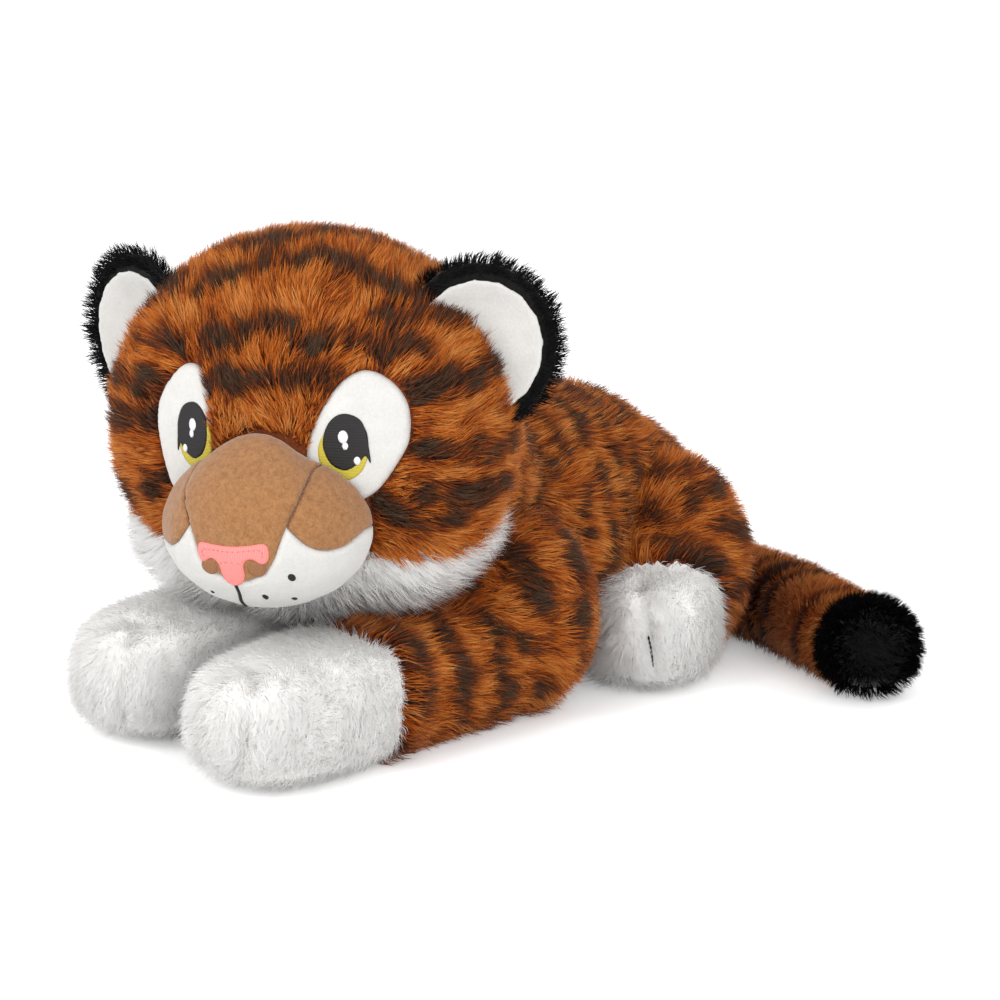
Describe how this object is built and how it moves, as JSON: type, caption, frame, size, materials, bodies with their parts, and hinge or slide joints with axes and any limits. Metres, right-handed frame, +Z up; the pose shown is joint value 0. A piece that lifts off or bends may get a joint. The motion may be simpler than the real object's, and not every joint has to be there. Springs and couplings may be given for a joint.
{
  "type": "plush tiger",
  "caption": "Soft toy tiger lying down: striped long-pile fur, white ruff and paws, black-rimmed ears, tan muzzle with a stitched nose, ringed tail with a black tuft.",
  "frame": {"origin": "on the floor, in the flat of the belly under the middle of the back", "axes": "+X to the animal's own left, +Y towards its tail, +Z up from the floor"},
  "size_m": [0.2668, 0.3473, 0.2039],
  "materials": {
    "orange_fur": "long-pile fur cloth with dark stripes",
    "white_fur": "long-pile fur cloth",
    "black_fur": "long-pile fur cloth",
    "white_cloth": "short-pile cloth",
    "tan_cloth": "short-pile cloth",
    "pink_stitching": "satin stitch",
    "olive_stitching": "satin stitch",
    "black_stitching": "satin stitch",
    "white_stitching": "satin stitch",
    "stuffing": "loose polyester fibre"
  },
  "bodies": {
    "torso": {"torso_cover": "orange_fur", "torso_stuffing": "stuffing"},
    "neck": {"neck_stuffing": "stuffing"},
    "head": {"head_cover": "orange_fur", "ruff_cover": "white_fur", "head_stuffing": "stuffing", "muzzle_bridge": "tan_cloth", "muzzle_lobe_left": "tan_cloth", "muzzle_lobe_right": "tan_cloth", "muzzle_lower": "white_cloth", "muzzle_stuffing": "stuffing", "nose_patch": "pink_stitching", "eye_patch_left": "white_cloth", "iris_left": "olive_stitching", "pupil_left": "black_stitching", "eye_glint_left": "white_stitching", "eye_spark_left": "white_stitching", "ear_back_left": "black_fur", "ear_lining_left": "white_cloth", "eye_patch_right": "white_cloth", "iris_right": "olive_stitching", "pupil_right": "black_stitching", "eye_glint_right": "white_stitching", "eye_spark_right": "white_stitching", "ear_back_right": "black_fur", "ear_lining_right": "white_cloth"},
    "tail": {"tail_tip_cover": "black_fur", "tail_cover": "orange_fur", "tail_stuffing": "stuffing"},
    "foreleg_left": {"forepaw_cover_left": "white_fur", "shoulder_cover_left": "orange_fur", "foreleg_cover_left": "orange_fur", "foreleg_stuffing_left": "stuffing"},
    "hindleg_left": {"haunch_cover_left": "orange_fur", "hindfoot_cover_left": "white_fur", "hindleg_stuffing_left": "stuffing"},
    "foreleg_right": {"forepaw_cover_right": "white_fur", "shoulder_cover_right": "orange_fur", "foreleg_cover_right": "orange_fur", "foreleg_stuffing_right": "stuffing"},
    "hindleg_right": {"haunch_cover_right": "orange_fur", "hindfoot_cover_right": "white_fur", "hindleg_stuffing_right": "stuffing"}
  },
  "joints": [
    {"name": "head_turn", "type": "hinge", "parent": "torso", "child": "neck", "pos_m": [0, -0.05, 0.092], "axis": [0, 0, 1], "range_deg": [-12, 12], "stiffness_Nm_per_rad": 0.6},
    {"name": "head_nod", "type": "hinge", "parent": "neck", "child": "head", "pos_m": [0, -0.05, 0.092], "axis": [-1, 0, 0], "range_deg": [0, 10], "stiffness_Nm_per_rad": 2},
    {"name": "foreleg_splay_left", "type": "hinge", "parent": "torso", "child": "foreleg_left", "pos_m": [0.045, -0.036, 0], "axis": [0, 0, 1], "range_deg": [0, 15], "stiffness_Nm_per_rad": 0.2},
    {"name": "hindleg_splay_left", "type": "hinge", "parent": "torso", "child": "hindleg_left", "pos_m": [0.043, 0.06, 0], "axis": [0, 0, 1], "range_deg": [0, 12], "stiffness_Nm_per_rad": 0.1},
    {"name": "foreleg_splay_right", "type": "hinge", "parent": "torso", "child": "foreleg_right", "pos_m": [-0.045, -0.036, 0], "axis": [0, 0, -1], "range_deg": [0, 15], "stiffness_Nm_per_rad": 0.2},
    {"name": "hindleg_splay_right", "type": "hinge", "parent": "torso", "child": "hindleg_right", "pos_m": [-0.043, 0.06, 0], "axis": [0, 0, -1], "range_deg": [0, 12], "stiffness_Nm_per_rad": 0.1},
    {"name": "tail_swing", "type": "hinge", "parent": "torso", "child": "tail", "pos_m": [0.008, 0.122, 0], "axis": [0, 0, 1], "range_deg": [0, 30], "stiffness_Nm_per_rad": 0.05}
  ]
}
